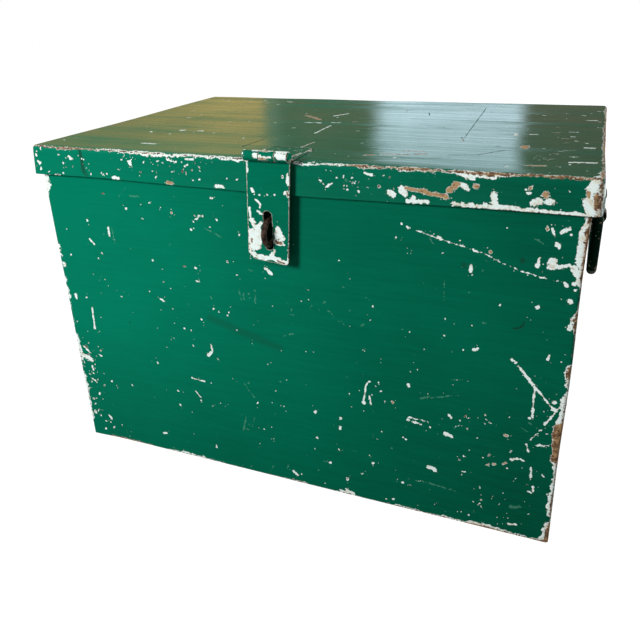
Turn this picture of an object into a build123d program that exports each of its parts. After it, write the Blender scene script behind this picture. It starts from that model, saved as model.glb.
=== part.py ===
from build123d import *
import os

# A small sheet-steel trunk for papers and keepsakes: a folded body, a shallow lid on two back
# hinges, a hasp that drops over a staple at the front, and a swinging handle on each end.
# Millimetres. X runs along the width, Y to the back, Z up. The origin is the middle of the
# base, on the surface that the trunk stands on.

# Body
body_width = 457.0        # over the end walls
body_depth = 305.0        # over the front and back walls
overall_height = 305.0    # floor to the top face of the lid
sheet = 0.9               # thickness of the sheet steel
body_corner = 2.5         # outer radius of the two folded front corners
back_corner = 3.0         # outer radius of the back panel's folded sides
rim_hem = 9.0             # height of the safe edge folded outwards round the rim
hem_round = 0.7           # rounding of the rim
seam_flange = 16.0        # lap of the back panel inside the end walls
seam_rivets = 4           # in each back seam
seam_rivet_margin = 42.0  # first and last seam rivet from the lap's two ends
pan_flange = 16.0         # height of the bottom pan's upturned edge
pan_corner = 4.0          # plan radius of the pan's corners
pan_bend = 2.4            # outer bend radius round the pan's floor
pan_notch_gap = 1.0       # back panel's lap to the top of the pan's edge

# Lid
lid_skirt = 25.0          # height of the skirt, with the top
lid_corner = 4.4          # plan radius of the lid's corners
lid_edge = 3.2            # outer radius of the folded top edges
lid_side_gap = 2.7        # skirt to the rim's hem, all round
lid_rest_gap = 0.3        # underside of the lid to the rim

# Back hinges
hinge_inset = 88.5        # middle of each hinge from the end wall
hinge_width = 50.0
hinge_sheet = 1.5         # thickness of both leaves
hinge_pin_radius = 2.0
hinge_knuckles = 5        # in each hinge, the outer ones on the lid's leaf
hinge_drop = 2.5          # axis below the lower edge of the skirt
hinge_top_margin = 1.0    # top of the lid's leaf to the rounded edge of the lid
hinge_leaf_length = 42.0  # body's leaf, from the axis down
hinge_crank_start = 6.5   # the body's leaf starts to crank in this far below the axis
hinge_crank_drop = 5.5    # height of the cranked part
hinge_rivets = 3          # in each leaf
hinge_rivet_margin = 9.0  # first and last rivet from the leaf's sides

# Hasp
hasp_width = 36.5
hasp_sheet = 1.6          # thickness of the leaf and of the strap
hasp_pin_radius = 2.4
hasp_left_knuckle = 13.0  # the strap's two knuckles, either side of the leaf's one
hasp_right_knuckle = 10.0
hasp_leaf_length = 46.0   # leaf on top of the lid, from the hinge axis back
hasp_leaf_corner = 3.0
hasp_rivets = 2           # countersunk, across the leaf
hasp_rivet_spacing = 20.0
hasp_rivet_margin = 10.0  # from the back edge of the leaf
hasp_blade_gap = 3.7      # back of the hanging blade to the skirt
hasp_drop = 83.0          # lower end of the blade below the top of the lid
hasp_foot_width = 34.8
hasp_foot_shift = -5.0    # the blade hangs askew, and its foot is this far to one side
hasp_foot_slope = 3.2     # the foot is cut this much out of level
hasp_foot_chamfer = 5.0
hasp_foot_round = 3.0
slot_width = 7.6
slot_length = 32.2
slot_drop = 55.4          # middle of the slot below the top of the lid

# Staple
staple_rod = 4.5          # diameter
staple_pitch = 19.0       # between the middles of the two legs
staple_reach = 20.0       # outermost point from the front wall
staple_drop = 57.4        # middle of the staple below the top of the lid
staple_head_radius = 3.7  # legs riveted over inside
staple_head = 1.3
staple_plate_width = 24.0
staple_plate_height = 40.0
staple_plate_sheet = 1.6
staple_plate_corner = 3.0
backing_width = 18.0
backing_height = 33.0
backing_sheet = 1.2

# End handles
handle_drop = 60.0        # swinging axis below the top of the lid
handle_offset = 6.5       # swinging axis from the end wall
bail_rod = 8.0            # diameter
bail_width = 100.0        # between the middles of the two arms
bail_drop = 46.0          # axis to the middle of the grip
bail_grip_bend = 12.0     # bend radius at the grip, to the middle of the rod
bail_arm_bend = 6.5       # bend radius where the arms turn in
bail_end_length = 26.0    # turned-in end, from the middle of its arm
bail_tip_round = 0.8      # rounding of the rod's cut ends
clip_strip = 2.0          # thickness of the strip that a clip is bent from
clip_width = 12.0
clip_inset = 17.0         # middle of each clip from the middle of the arm beside it
clip_flange = 12.0        # flat part above and below the loop
clip_bend = 1.2           # inner radius between the loop and its flanges
clip_corner = 2.0
loop_fit = 0.1            # radial clearance of the rod in its clip

# Fasteners and fits
rivet_radius = 1.55       # shank
rivet_head_radius = 3.2
rivet_head = 1.4
rivet_tail_radius = 2.3
rivet_tail = 0.9
sink_radius = 3.0         # countersunk head of a hasp rivet
rivet_fit = 0.05          # radial clearance of every rivet and staple leg in its hole
pin_fit = 0.06            # radial clearance of a pin in its knuckles
pin_head = 1.0            # peened end of a pin
pin_head_growth = 0.8     # its extra radius
knuckle_gap = 0.4         # between neighbouring knuckles, and to the peened ends
knuckle_relief = 0.5      # a leaf's cut-outs round the other leaf's knuckles
cut_margin = 1.0          # cutting tools reach this far past what they cut
same_place = 0.01         # places closer than this are one place

# Places that follow from those sizes
end_x = body_width / 2
front_y = -body_depth / 2
back_y = body_depth / 2
rim_z = overall_height - sheet - lid_rest_gap
lid_reach = sheet + lid_side_gap + sheet
lid_half_width = end_x + lid_reach
lid_front_y = front_y - lid_reach
lid_back_y = back_y + lid_reach
skirt_z = overall_height - lid_skirt
rivet_hole = rivet_radius + rivet_fit
seam_y = back_y - (back_corner + seam_flange) / 2

hinge_offset = end_x - hinge_inset
hinge_barrel = hinge_pin_radius + pin_fit + hinge_sheet
hinge_y = lid_back_y + hinge_barrel
hinge_z = skirt_z - hinge_drop
hinge_leaf_top = overall_height - lid_edge - hinge_top_margin
hinge_leaf_foot = hinge_z - hinge_leaf_length
hinge_crank_top = hinge_z - hinge_crank_start
hinge_crank_foot = hinge_crank_top - hinge_crank_drop
hinge_lid_rivet_z = (skirt_z + hinge_leaf_top) / 2
hinge_body_rivet_z = (hinge_crank_foot + hinge_leaf_foot) / 2

hasp_barrel = hasp_pin_radius + pin_fit + hasp_sheet
hasp_z = overall_height + hasp_barrel
blade_y = lid_front_y - hasp_blade_gap - hasp_sheet
hasp_y = blade_y + hasp_sheet - hasp_barrel
blade_foot = overall_height - hasp_drop
slot_z = overall_height - slot_drop
slot_x = hasp_foot_shift * (hasp_z - slot_z) / (hasp_z - blade_foot)

staple_z = overall_height - staple_drop
staple_feet = (staple_z - staple_pitch / 2, staple_z + staple_pitch / 2)

handle_z = overall_height - handle_drop
clip_y = bail_width / 2 - clip_inset
clip_inner = bail_rod / 2 + loop_fit
clip_outer = clip_inner + clip_strip
clip_rivet_offset = clip_outer + clip_bend + (clip_flange - clip_bend) / 2


def block(x_range, y_range, z_range):
    """A box between two values on each axis."""
    middle = [(low + high) / 2 for low, high in (x_range, y_range, z_range)]
    size = [high - low for low, high in (x_range, y_range, z_range)]
    return Pos(*middle) * Box(*size)


def rod_x(radius, x_range, y, z):
    """A round bar along X."""
    x_low, x_high = x_range
    return Pos((x_low + x_high) / 2, y, z) * Rot(0, 90, 0) * Cylinder(radius, x_high - x_low)


def rod_y(radius, x, y_range, z):
    """A round bar along Y."""
    y_low, y_high = y_range
    return Pos(x, (y_low + y_high) / 2, z) * Rot(90, 0, 0) * Cylinder(radius, y_high - y_low)


def spread(count, low, high):
    """Evenly spaced places from low to high."""
    return [low + (high - low) * place / (count - 1) for place in range(count)]


def rivet(grip):
    """A domed rivet along Z: its head stands on z = 0 and its shank goes down through grip."""
    shank = Pos(0, 0, -grip / 2) * Cylinder(rivet_radius, grip)
    ball = (rivet_head_radius**2 + rivet_head**2) / (2 * rivet_head)
    above = Pos(0, 0, ball) * Box(2 * ball, 2 * ball, 2 * ball)
    head = Pos(0, 0, rivet_head - ball) * Sphere(ball) & above
    tail = Pos(0, 0, -grip - rivet_tail / 2) * Cylinder(rivet_tail_radius, rivet_tail)
    return shank + head + fillet(tail.edges().group_by(Axis.Z)[0], rivet_tail / 2)


def group(solids):
    """Separate solids of one node."""
    return Compound(children=list(solids))


# Body

def wall_plan(half_width, open_y, closed_y, radius):
    """A rectangle with its two corners at closed_y rounded."""
    plan = Pos(0, (open_y + closed_y) / 2) * Rectangle(2 * half_width, abs(closed_y - open_y))
    corners = [v for v in plan.vertices() if abs(v.Y - closed_y) < abs(v.Y - open_y)]
    return fillet(corners, radius)


def wrap_band(inner, outer, z_low, z_high):
    """A band round the front and both ends, between two distances out from the walls' faces."""
    open_y = back_y - back_corner
    plan = wall_plan(end_x + outer, open_y, front_y - outer, body_corner + outer)
    plan -= wall_plan(end_x + inner, open_y, front_y - inner, body_corner + inner)
    return Pos(0, 0, z_low) * extrude(plan, z_high - z_low)


def seam_rivet_places():
    """Heights of the rivets in each back seam."""
    low = pan_flange + pan_notch_gap + seam_rivet_margin
    return spread(seam_rivets, low, rim_z - seam_rivet_margin)


def handle_rivet_places():
    """Y and Z of the rivets that hold the two clips of a handle."""
    heights = (handle_z - clip_rivet_offset, handle_z + clip_rivet_offset)
    return [(y, z) for y in (-clip_y, clip_y) for z in heights]


def body_wrap():
    """Front and both end walls, folded from one sheet, with a safe edge outside the rim."""
    walls = wrap_band(-sheet, 0, 0, rim_z)
    hem = wrap_band(0, sheet, rim_z - rim_hem, rim_z)
    folded = walls + hem
    rim = folded.faces().sort_by(Axis.Z)[-1]
    open_y = back_y - back_corner
    long_edges = [e for e in rim.edges() if e.center().Y < open_y - same_place]
    folded = fillet(long_edges, hem_round)
    across = (-end_x - cut_margin, end_x + cut_margin)
    for z in seam_rivet_places():
        folded -= rod_x(rivet_hole, across, seam_y, z)
    for y, z in handle_rivet_places():
        folded -= rod_x(rivet_hole, across, y, z)
    for z in staple_feet:
        through = (front_y - cut_margin, front_y + sheet + cut_margin)
        folded -= rod_y(staple_rod / 2 + rivet_fit, slot_x, through, z)
    return folded


def back_panel():
    """Back wall, with sides that lap inside the end walls and a safe edge outside the rim."""
    lap_x = end_x - sheet
    lap_y = back_y - seam_flange
    plan = wall_plan(lap_x, lap_y, back_y, back_corner)
    plan -= wall_plan(lap_x - sheet, lap_y, back_y - sheet, back_corner - sheet)
    panel = extrude(plan, rim_z)
    flat_x = lap_x - back_corner
    panel += block((-flat_x, flat_x), (back_y, back_y + sheet), (rim_z - rim_hem, rim_z))
    rim = panel.edges().filter_by(Axis.X).group_by(Axis.Z)[-1]
    panel = fillet(rim.sort_by(Axis.Y)[-1], hem_round)
    notch_y = (lap_y - cut_margin, back_y - back_corner)
    notch_z = (-cut_margin, pan_flange + pan_notch_gap)
    panel -= block((-end_x, end_x), notch_y, notch_z)
    for z in seam_rivet_places():
        panel -= rod_x(rivet_hole, (-end_x, end_x), seam_y, z)
    for side in (-1, 1):
        for x in hinge_rivet_places(side):
            through = (back_y - sheet - cut_margin, back_y + cut_margin)
            panel -= rod_y(rivet_hole, x, through, hinge_body_rivet_z)
    return panel


def pan_solid(inset, z_low, bend):
    """The pan's outside, or the space within it."""
    half_width = end_x - sheet - inset
    half_depth = back_y - sheet - inset
    plan = RectangleRounded(2 * half_width, 2 * half_depth, pan_corner - inset)
    solid = Pos(0, 0, z_low) * extrude(plan, pan_flange + inset - z_low)
    return fillet(solid.edges().group_by(Axis.Z)[0], bend)


def bottom_pan():
    """Bottom, a shallow tray whose turned-up edge is welded inside the walls."""
    return pan_solid(0, 0, pan_bend) - pan_solid(sheet, sheet, pan_bend - sheet)


def seam_rivet_group(side):
    """Rivets through an end wall and the back panel's lap behind it."""
    one = rivet(2 * sheet)
    return group(
        Pos(side * end_x, seam_y, z) * Rot(0, side * 90, 0) * one for z in seam_rivet_places()
    )


# Lid

def lid_solid(inset, bend):
    """The lid's outside, or the space within it."""
    half_width = lid_half_width - inset
    half_depth = lid_back_y - inset
    plan = RectangleRounded(2 * half_width, 2 * half_depth, lid_corner - inset)
    z_low = skirt_z - (cut_margin if inset else 0)
    solid = Pos(0, 0, z_low) * extrude(plan, overall_height - inset - z_low)
    return fillet(solid.edges().group_by(Axis.Z)[-1], bend)


def hasp_rivet_places():
    """X and Y of the rivets through the hasp's leaf."""
    y = hasp_y + hasp_leaf_length - hasp_rivet_margin
    half = (hasp_rivets - 1) * hasp_rivet_spacing / 2
    return [(x, y) for x in spread(hasp_rivets, -half, half)]


def lid_shell():
    """Lid, drawn from one sheet, with a skirt that laps outside the rim."""
    lid = lid_solid(0, lid_edge) - lid_solid(sheet, lid_edge - sheet)
    for x, y in hasp_rivet_places():
        lid -= Pos(x, y, overall_height) * Cylinder(rivet_hole, 2 * sheet + cut_margin)
    for side in (-1, 1):
        for x in hinge_rivet_places(side):
            through = (lid_back_y - sheet - cut_margin, lid_back_y + cut_margin)
            lid -= rod_y(rivet_hole, x, through, hinge_lid_rivet_z)
    return lid


# Back hinges

def hinge_rivet_places(side):
    """X of the rivets in each leaf of the hinge on one side."""
    half = hinge_width / 2 - hinge_rivet_margin
    return [side * hinge_offset + x for x in spread(hinge_rivets, -half, half)]


def hinge_knuckle_ranges(side):
    """The X range of each knuckle, without the gaps between them."""
    pitch = (hinge_width + knuckle_gap) / hinge_knuckles
    start = side * hinge_offset - hinge_width / 2
    return [(start + n * pitch, start + (n + 1) * pitch - knuckle_gap) for n in range(hinge_knuckles)]


def add_knuckles(leaf, own, other, barrel, bore, y, z):
    """Cut a leaf clear of the other leaf's knuckles, add its own, and bore them."""
    reach = barrel + knuckle_relief
    for low, high in other:
        wide = (low - knuckle_gap, high + knuckle_gap)
        leaf -= block(wide, (y - reach, y + reach), (z - reach, z + reach))
    for x_range in own:
        leaf += rod_x(barrel, x_range, y, z)
    ends = [x for x_range in own + other for x in x_range]
    return leaf - rod_x(bore, (min(ends) - cut_margin, max(ends) + cut_margin), y, z)


def finish_hinge_leaf(leaf, side, first, rivet_z):
    """Knuckles and rivet holes of either leaf. first is its first knuckle."""
    knuckles = hinge_knuckle_ranges(side)
    own, other = knuckles[first::2], knuckles[1 - first::2]
    bore = hinge_pin_radius + pin_fit
    leaf = add_knuckles(leaf, own, other, hinge_barrel, bore, hinge_y, hinge_z)
    for x in hinge_rivet_places(side):
        through = (back_y - cut_margin, hinge_y + hinge_barrel)
        leaf -= rod_y(rivet_hole, x, through, rivet_z)
    return leaf


def hinge_lid_leaf(side):
    """Leaf on the back of the skirt."""
    low_x = side * hinge_offset - hinge_width / 2
    plate_y = (lid_back_y, lid_back_y + hinge_sheet)
    plate = block((low_x, low_x + hinge_width), plate_y, (hinge_z, hinge_leaf_top))
    return finish_hinge_leaf(plate, side, 0, hinge_lid_rivet_z)


def hinge_body_leaf(side):
    """Leaf on the back panel, cranked in from the barrel."""
    outline = [
        (lid_back_y, hinge_z),
        (lid_back_y, hinge_crank_top),
        (back_y, hinge_crank_foot),
        (back_y, hinge_leaf_foot),
        (back_y + hinge_sheet, hinge_leaf_foot),
        (back_y + hinge_sheet, hinge_crank_foot),
        (lid_back_y + hinge_sheet, hinge_crank_top),
        (lid_back_y + hinge_sheet, hinge_z),
    ]
    section = Plane.YZ * make_face(Polyline(*outline, close=True))
    low_x = side * hinge_offset - hinge_width / 2
    plate = Pos(low_x, 0, 0) * extrude(section, hinge_width)
    return finish_hinge_leaf(plate, side, 1, hinge_body_rivet_z)


def peened_pin(radius, x_range, y, z):
    """A pin through a set of knuckles, peened over outside them."""
    low, high = x_range
    low, high = low - knuckle_gap, high + knuckle_gap
    pin = rod_x(radius, (low - pin_head, high + pin_head), y, z)
    for outer, inner in ((low - pin_head, low), (high + pin_head, high)):
        x_ends = (min(outer, inner), max(outer, inner))
        head = rod_x(radius + pin_head_growth, x_ends, y, z)
        rim = head.edges().filter_by(GeomType.CIRCLE).sort_by(lambda e: abs(e.center().X - outer))[0]
        pin += fillet(rim, pin_head / 2)
    return pin


def hinge_pin(side):
    """Pin of a back hinge."""
    middle = side * hinge_offset
    x_range = (middle - hinge_width / 2, middle + hinge_width / 2)
    return peened_pin(hinge_pin_radius, x_range, hinge_y, hinge_z)


def hinge_rivet_group(side, y, z, grip):
    """Rivets through one hinge leaf and the sheet behind it."""
    one = rivet(grip)
    return group(Pos(x, y, z) * Rot(-90, 0, 0) * one for x in hinge_rivet_places(side))


# Hasp

def hasp_knuckle_ranges():
    """X ranges of the strap's two knuckles and of the leaf's one between them."""
    low, high = -hasp_width / 2, hasp_width / 2
    left = (low, low + hasp_left_knuckle)
    right = (high - hasp_right_knuckle, high)
    return [left, right], [(left[1] + knuckle_gap, right[0] - knuckle_gap)]


def hasp_leaf():
    """Leaf on top of the lid, whose one knuckle overhangs the front edge."""
    strap_knuckles, leaf_knuckles = hasp_knuckle_ranges()
    plate_y = (hasp_y, hasp_y + hasp_leaf_length)
    plate_z = (overall_height, overall_height + hasp_sheet)
    plate = block((-hasp_width / 2, hasp_width / 2), plate_y, plate_z)
    back_corners = plate.edges().filter_by(Axis.Z).group_by(Axis.Y)[-1]
    plate = fillet(back_corners, hasp_leaf_corner)
    bore = hasp_pin_radius + pin_fit
    leaf = add_knuckles(plate, leaf_knuckles, strap_knuckles, hasp_barrel, bore, hasp_y, hasp_z)
    for x, y in hasp_rivet_places():
        leaf -= Pos(x, y, 0) * sunk_rivet(rivet_fit)
    return leaf


def sunk_rivet(growth):
    """A countersunk rivet through leaf and lid, or with a growth in radius, its hole in the leaf."""
    top = overall_height + hasp_sheet
    flare = sink_radius - rivet_radius
    cone = Pos(0, 0, top - flare / 2) * Cone(rivet_radius + growth, sink_radius + growth, flare)
    foot = overall_height - sheet
    shank = Pos(0, 0, (top + foot) / 2) * Cylinder(rivet_radius + growth, top - foot)
    return cone + shank


def hasp_rivet_group():
    """The countersunk rivets, upset under the lid."""
    tail_z = overall_height - sheet - rivet_tail / 2
    tail = Pos(0, 0, tail_z) * Cylinder(rivet_tail_radius, rivet_tail)
    one = sunk_rivet(0) + tail
    return group(Pos(x, y, 0) * one for x, y in hasp_rivet_places())


def hasp_blade():
    """The hanging part of the strap, up to its axis behind the barrel, cut askew, with its slot."""
    half_top, half_foot = hasp_width / 2, hasp_foot_width / 2
    low_side = (hasp_foot_shift + half_foot, blade_foot)
    high_side = (hasp_foot_shift - half_foot, blade_foot + hasp_foot_slope)
    outline = [(-half_top, hasp_z), (half_top, hasp_z), low_side, high_side]
    face = make_face(Polyline(*outline, close=True))
    corner_high = [v for v in face.vertices() if abs(v.Y - high_side[1]) < same_place]
    face = chamfer(corner_high, hasp_foot_chamfer)
    corner_low = [v for v in face.vertices() if abs(v.Y - low_side[1]) < same_place]
    face = fillet(corner_low, hasp_foot_round)
    face -= Pos(slot_x, slot_z) * Rot(0, 0, 90) * SlotOverall(slot_length, slot_width)
    return Pos(0, blade_y + hasp_sheet, 0) * extrude(Plane.XZ * face, hasp_sheet)


def hasp_strap():
    """Swinging strap. Its two knuckles are curled forwards from the blade."""
    strap_knuckles, leaf_knuckles = hasp_knuckle_ranges()
    bore = hasp_pin_radius + pin_fit
    return add_knuckles(hasp_blade(), strap_knuckles, leaf_knuckles, hasp_barrel, bore, hasp_y, hasp_z)


def hasp_pin():
    """Pin of the hasp."""
    return peened_pin(hasp_pin_radius, (-hasp_width / 2, hasp_width / 2), hasp_y, hasp_z)


# Staple

def staple():
    """A bent rod that stands out through the hasp's slot, riveted over inside the front wall."""
    low, high = staple_feet
    end_y = front_y + sheet + backing_sheet + staple_head
    crown_y = front_y - staple_reach + staple_rod / 2 + staple_pitch / 2
    crown = (crown_y - staple_pitch / 2, staple_z)
    edges = [
        Line((end_y, high), (crown_y, high)),
        ThreePointArc((crown_y, high), crown, (crown_y, low)),
        Line((crown_y, low), (end_y, low)),
    ]
    path = Pos(slot_x, 0, 0) * (Plane.YZ * Wire(edges))
    start = Plane(origin=(slot_x, end_y, high), z_dir=(0, -1, 0))
    rod = sweep(start * Circle(staple_rod / 2), path=path)
    head_y = (end_y - staple_head, end_y)
    for z in staple_feet:
        head = rod_y(staple_head_radius, slot_x, head_y, z)
        rim = head.edges().filter_by(GeomType.CIRCLE).sort_by(Axis.Y)[-1]
        rod += fillet(rim, staple_head / 2)
    return rod


def staple_sheet(width, height, y_range, corner):
    """A small plate with holes for the staple's legs."""
    x_range = (slot_x - width / 2, slot_x + width / 2)
    z_range = (staple_z - height / 2, staple_z + height / 2)
    plate = block(x_range, y_range, z_range)
    plate = fillet(plate.edges().filter_by(Axis.Y), corner)
    through = (y_range[0] - cut_margin, y_range[1] + cut_margin)
    for z in staple_feet:
        plate -= rod_y(staple_rod / 2 + rivet_fit, slot_x, through, z)
    return plate


def staple_plate():
    """Plate between the staple's legs and the front wall."""
    y_range = (front_y - staple_plate_sheet, front_y)
    return staple_sheet(staple_plate_width, staple_plate_height, y_range, staple_plate_corner)


def staple_backing():
    """Plate inside the front wall, under the riveted ends."""
    y_range = (front_y + sheet, front_y + sheet + backing_sheet)
    return staple_sheet(backing_width, backing_height, y_range, staple_plate_corner)


# End handles. Each is modelled for the right end, and turned half round for the left.

def bail():
    """Handle bent from round rod, with its ends turned in through the clips."""
    arm_y = bail_width / 2
    end_y = arm_y - bail_end_length
    grip_z = handle_z - bail_drop
    corners = [
        (end_y, handle_z),
        (arm_y, handle_z),
        (arm_y, grip_z),
        (-arm_y, grip_z),
        (-arm_y, handle_z),
        (-end_y, handle_z),
    ]
    radii = [bail_arm_bend, bail_grip_bend, bail_grip_bend, bail_arm_bend]
    path = Pos(end_x + handle_offset, 0, 0) * (Plane.YZ * FilletPolyline(*corners, radius=radii))
    start = Plane(origin=(end_x + handle_offset, end_y, handle_z), z_dir=(0, 1, 0))
    rod = sweep(start * Circle(bail_rod / 2), path=path)
    tips = rod.edges().filter_by(GeomType.CIRCLE)
    tips = [e for e in tips if abs(abs(e.center().Y) - end_y) < same_place]
    return fillet(tips, bail_tip_round)


def clip():
    """A strip bent round the rod, with a flange above and below on the end wall."""
    half_height = clip_outer + clip_flange
    axis_x = end_x + handle_offset
    loop = rod_y(clip_outer, axis_x, (-clip_width / 2, clip_width / 2), handle_z)
    loop += block((end_x, axis_x), (-clip_width / 2, clip_width / 2),
                  (handle_z - clip_outer, handle_z + clip_outer))
    loop += block((end_x, end_x + clip_strip), (-clip_width / 2, clip_width / 2),
                  (handle_z - half_height, handle_z + half_height))
    creases = [
        e for e in loop.edges().filter_by(Axis.Y)
        if abs(e.center().X - end_x - clip_strip) < same_place
        and abs(abs(e.center().Z - handle_z) - clip_outer) < same_place
    ]
    loop = fillet(creases, clip_bend)
    ends = [
        e for e in loop.edges().filter_by(Axis.X)
        if abs(abs(e.center().Z - handle_z) - half_height) < same_place
    ]
    loop = fillet(ends, clip_corner)
    past = (-clip_width / 2 - cut_margin, clip_width / 2 + cut_margin)
    loop -= rod_y(clip_inner, axis_x, past, handle_z)
    loop -= block((end_x - cut_margin, axis_x), past,
                  (handle_z - clip_inner, handle_z + clip_inner))
    for offset in (-clip_rivet_offset, clip_rivet_offset):
        through = (end_x - cut_margin, end_x + clip_strip + cut_margin)
        loop -= rod_x(rivet_hole, through, 0, handle_z + offset)
    return loop


def handle_rivet_group():
    """Rivets through the flanges of both clips and the end wall."""
    one = rivet(clip_strip + sheet)
    x = end_x + clip_strip
    return group(Pos(x, y, z) * Rot(0, 90, 0) * one for y, z in handle_rivet_places())


# The nodes

nodes = {
    "body_wrap": body_wrap(),
    "back_panel": back_panel(),
    "bottom_pan": bottom_pan(),
    "lid_shell": lid_shell(),
    "hasp_leaf": hasp_leaf(),
    "hasp_leaf_rivets": hasp_rivet_group(),
    "hasp_pin": hasp_pin(),
    "hasp_strap": hasp_strap(),
    "staple": staple(),
    "staple_plate": staple_plate(),
    "staple_backing_plate": staple_backing(),
}

for side, name in ((-1, "left"), (1, "right")):
    nodes[f"seam_rivets_{name}"] = seam_rivet_group(side)
    nodes[f"hinge_lid_leaf_{name}"] = hinge_lid_leaf(side)
    nodes[f"hinge_body_leaf_{name}"] = hinge_body_leaf(side)
    nodes[f"hinge_pin_{name}"] = hinge_pin(side)
    grip = hinge_sheet + sheet
    nodes[f"hinge_lid_rivets_{name}"] = hinge_rivet_group(
        side, lid_back_y + hinge_sheet, hinge_lid_rivet_z, grip
    )
    nodes[f"hinge_body_rivets_{name}"] = hinge_rivet_group(
        side, back_y + hinge_sheet, hinge_body_rivet_z, grip
    )
    turn = Rot(0, 0, 0 if side > 0 else 180)
    nodes[f"handle_bail_{name}"] = turn * bail()
    nodes[f"handle_rivets_{name}"] = turn * handle_rivet_group()
    for end, y in (("front", -clip_y), ("rear", clip_y)):
        nodes[f"handle_clip_{name}_{end}"] = turn * Pos(0, side * y, 0) * clip()

os.makedirs("parts", exist_ok=True)
for name, shape in nodes.items():
    export_step(shape, f"parts/{name}.step")
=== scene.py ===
import math
import random

import bmesh
import bpy
import numpy as np
from mathutils import Matrix, Vector


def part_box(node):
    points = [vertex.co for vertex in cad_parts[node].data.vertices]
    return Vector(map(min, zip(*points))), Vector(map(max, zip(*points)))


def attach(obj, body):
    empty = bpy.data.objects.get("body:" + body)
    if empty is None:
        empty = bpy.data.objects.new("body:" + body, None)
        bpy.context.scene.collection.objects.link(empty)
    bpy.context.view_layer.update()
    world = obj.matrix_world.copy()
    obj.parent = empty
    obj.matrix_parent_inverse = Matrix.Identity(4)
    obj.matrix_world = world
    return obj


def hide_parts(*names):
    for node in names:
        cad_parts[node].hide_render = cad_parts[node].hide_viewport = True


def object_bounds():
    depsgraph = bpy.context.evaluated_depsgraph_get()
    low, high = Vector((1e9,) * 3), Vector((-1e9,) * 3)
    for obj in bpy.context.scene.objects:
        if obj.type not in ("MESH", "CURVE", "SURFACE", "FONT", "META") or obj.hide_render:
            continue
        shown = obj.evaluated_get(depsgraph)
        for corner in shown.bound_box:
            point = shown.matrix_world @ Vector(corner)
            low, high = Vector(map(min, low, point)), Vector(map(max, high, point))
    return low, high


# A small steel trunk in green enamel, brushed on over a white primer, and chipped down to the
# primer and the brown steel by years of use. The two big sheets are drawn here again as fine
# meshes, so that they can be a little uneven and every chip has its own place on them. Flat
# plates are diced for the same reason, and the rest keeps its solid and gets its finish.

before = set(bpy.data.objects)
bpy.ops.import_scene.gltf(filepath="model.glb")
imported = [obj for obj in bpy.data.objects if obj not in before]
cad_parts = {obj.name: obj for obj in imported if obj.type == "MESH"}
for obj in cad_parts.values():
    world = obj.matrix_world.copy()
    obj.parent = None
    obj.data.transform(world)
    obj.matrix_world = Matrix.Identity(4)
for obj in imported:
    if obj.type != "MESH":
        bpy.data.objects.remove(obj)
cad_low, cad_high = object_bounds()

mm = 0.001


def sides(node):
    """Lowest and highest corner of a solid, in millimetres."""
    low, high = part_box(node)
    return np.array(low) / mm, np.array(high) / mm


# Sizes, in millimetres

sheet = 0.9
body_corner = 2.5
rim_hem = 9.0
hem_round = 0.7
lid_corner = 4.4
lid_edge = 3.2

wrap_low, wrap_high = sides("body_wrap")
lid_low, lid_high = sides("lid_shell")
strap_low, strap_high = sides("hasp_strap")
half_width = wrap_high[0] - sheet
front_y = wrap_low[1] + sheet
open_y = wrap_high[1]
rim_z = wrap_high[2]
lid_half_width = lid_high[0]
lid_half_depth = lid_high[1]
skirt_z, top_z = lid_low[2], lid_high[2]

body_cell = 2.8
inside_cell = 6.0
lid_cell = 2.8
bend_cells = 6            # round every bend
body_ripple = 0.5         # how far the sheets are out of true
lid_ripple = 0.45
ripple_wave = 90.0
body_bulge = 2.0          # the left front corners are knocked outwards this far
lid_bulge = 3.0           # at the foot of the skirt, and a third of it at the top
bulge_spread = 22.0
sag_top = 0.8             # of the lid's front, at its top edge and at the foot of its skirt
sag_foot = 2.0
sag_spread = 120.0
flare = 3.5               # of the skirt's right side, near its front corner
flare_y = -122.0
flare_spread = 38.0
bulge_at_top = 0.33       # share of the lid's bulge that is left at its top
dent_starts = 8.0         # a dent of the skirt fades in from this far behind its face
dent_fades = 6.0          # over this much
smooth_below = math.radians(35)
same_place = 0.02

# Kinds of mark on the enamel

SCUFF, RUB, PRIMER, STEEL, RUST = 0, 1, 2, 3, 4

thin_line = 0.75          # a mark with less than this half width is a scratch if it is long
thin_raggedness = 1.3
no_length = 0.01          # a run shorter than this is a single chip
far_away = 1000.0         # where there is no mark
least_width = 0.1
fewest = 2                # every face knows its two nearest marks
at_once = 2000            # faces that are compared with the marks in one go
panel_shift = 90.0        # keeps the noise of one side of a piece apart from the next one's
inside_shift = 700.0


# Marks. Each is a half width, a kind, and the points of its line in millimetres: across and
# up on an upright side, across and back on the lid. A single point is a chip.

def of_kind(kind, *marks):
    """Marks of one kind, each given as its half width and then its points' places in a row."""
    return [(half, kind, *zip(places[::2], places[1::2])) for half, *places in marks]


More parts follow.
